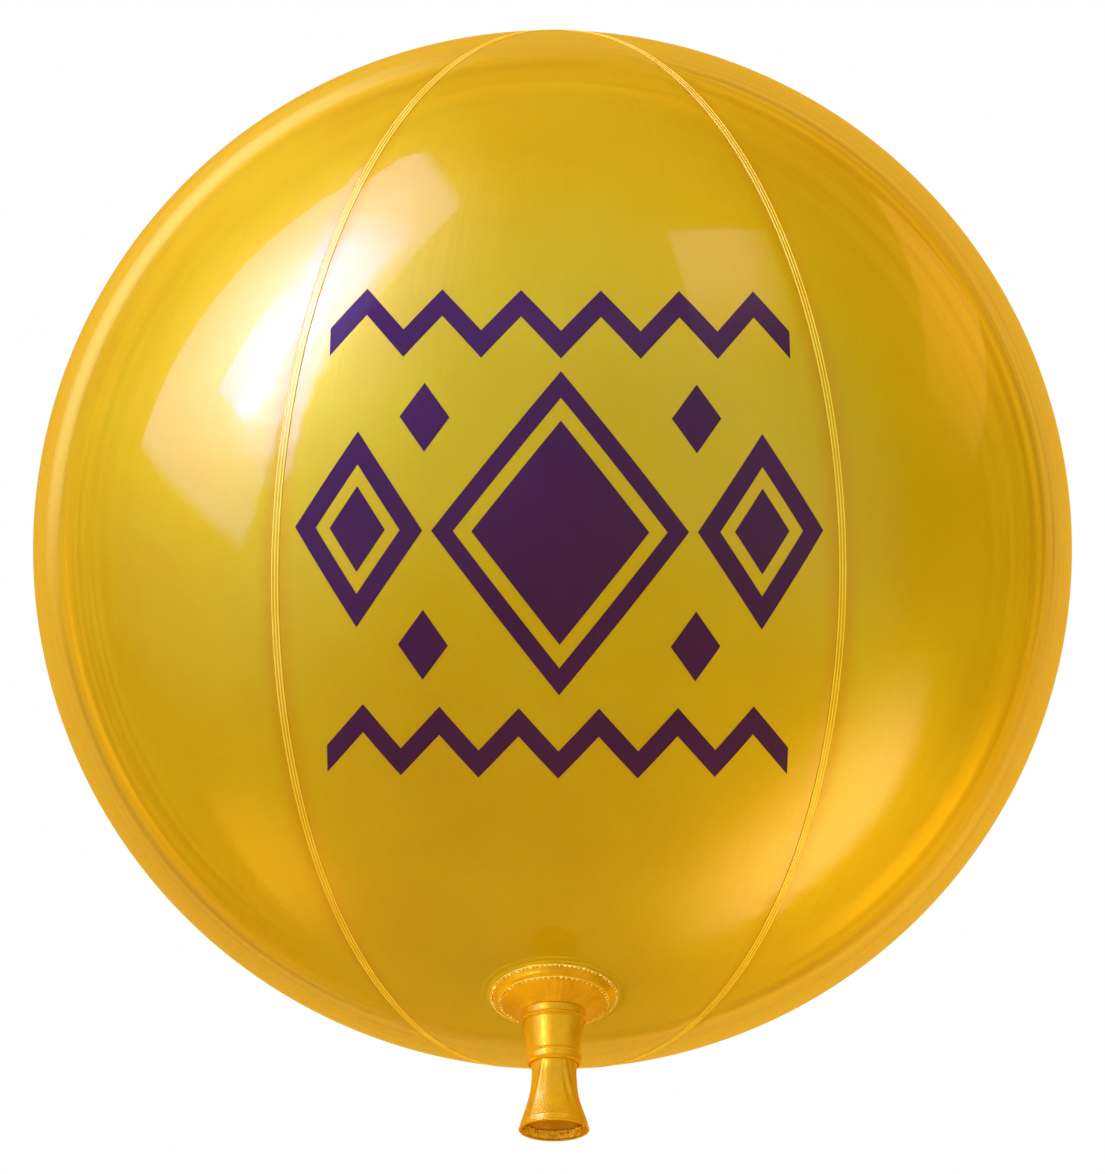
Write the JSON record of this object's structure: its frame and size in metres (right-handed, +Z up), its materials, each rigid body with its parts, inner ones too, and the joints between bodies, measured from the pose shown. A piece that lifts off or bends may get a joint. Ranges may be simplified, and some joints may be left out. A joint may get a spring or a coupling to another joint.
{
  "type": "pvc advertising balloon",
  "caption": "Large glossy inflated sphere of welded film gores with weld strips, pole discs, a printed front and a filling neck.",
  "frame": {"origin": "centre of the sphere, through which the balloon's lift acts", "axes": "+Z up, the filling neck hangs along -Z; the printed gore faces -Y and a little down; +X is to the right seen from the front"},
  "size_m": [2.004, 2, 2.2361],
  "materials": {
    "film": "glossy pearl gold PVC film, slightly translucent",
    "weld": "ridged high-frequency weld in the same film",
    "neck": "thicker glossy gold film, softly creased",
    "lining": "crinkled turned-up film",
    "ink": "dark purple screen-printed ink"
  },
  "bodies": {
    "root": {"gore_1": "film", "gore_2": "film", "gore_3": "film", "gore_4": "film", "gore_5": "film", "gore_6": "film", "weld_strip_1": "weld", "weld_strip_2": "weld", "weld_strip_3": "weld", "weld_strip_4": "weld", "weld_strip_5": "weld", "weld_strip_6": "weld", "crown_disc": "weld", "base_disc": "weld", "neck_patch": "neck", "neck_skirt": "neck", "upper_collar": "neck", "neck_sleeve": "neck", "lower_band": "neck", "neck_tail": "neck", "mouth_hem": "neck", "hem_facing": "lining", "print_core": "ink", "print_frame": "ink", "print_left_frame": "ink", "print_right_frame": "ink", "print_left_core": "ink", "print_right_core": "ink", "print_upper_left": "ink", "print_upper_right": "ink", "print_lower_left": "ink", "print_lower_right": "ink", "print_zigzag_upper": "ink", "print_zigzag_lower": "ink"}
  },
  "joints": []
}
